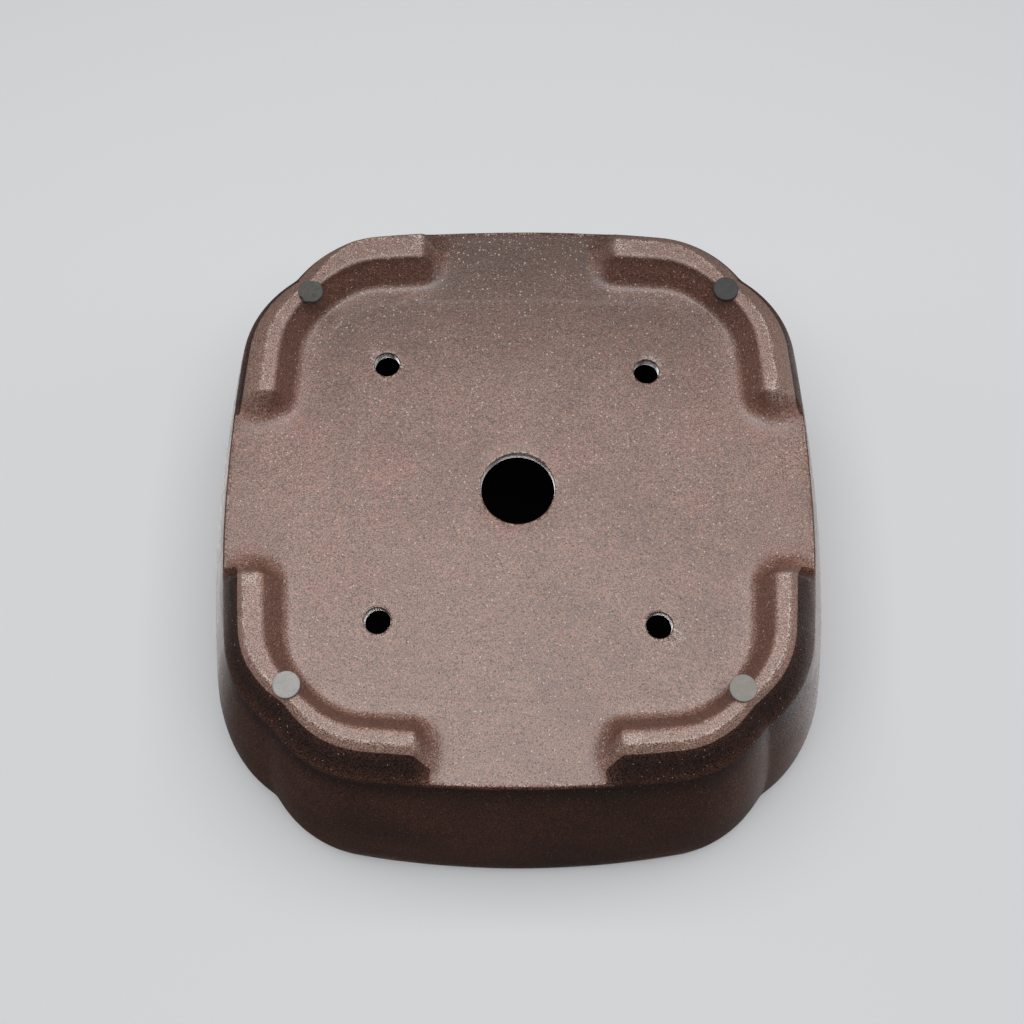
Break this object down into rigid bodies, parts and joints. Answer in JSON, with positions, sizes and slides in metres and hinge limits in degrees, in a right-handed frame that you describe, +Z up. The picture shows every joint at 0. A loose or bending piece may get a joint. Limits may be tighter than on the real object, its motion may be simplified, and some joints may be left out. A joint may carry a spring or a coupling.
{
  "type": "bonsai pot",
  "caption": "Four-lobed unglazed stoneware bonsai pot with flared wall, curved corner feet, drain and wire holes, and stick-on pads.",
  "frame": {"origin": "middle of the surface that the pot stands on", "axes": "+Z up out of the mouth; each of the four lobes bulges along +X, -X, +Y or -Y; front is -Y"},
  "size_m": [0.258, 0.258, 0.115],
  "materials": {
    "bare_clay": "matt bare fired clay with fine pale and dark grog specks",
    "burnished_clay": "dark burnished bare clay with a soft sheen",
    "grey_pad": "matt grey foam rubber",
    "adhesive_film": "dark adhesive film"
  },
  "bodies": {
    "root": {"floor_slab": "bare_clay", "wall_panel_front": "burnished_clay", "wall_panel_right": "burnished_clay", "wall_panel_back": "burnished_clay", "wall_panel_left": "burnished_clay", "rim_lip": "burnished_clay", "foot_front_right": "bare_clay", "foot_back_right": "bare_clay", "foot_back_left": "bare_clay", "foot_front_left": "bare_clay", "pad_front_right": "grey_pad", "pad_back_right": "grey_pad", "pad_back_left": "grey_pad", "pad_front_left": "grey_pad", "pad_film_front_right": "adhesive_film", "pad_film_back_right": "adhesive_film", "pad_film_back_left": "adhesive_film", "pad_film_front_left": "adhesive_film"}
  },
  "joints": []
}
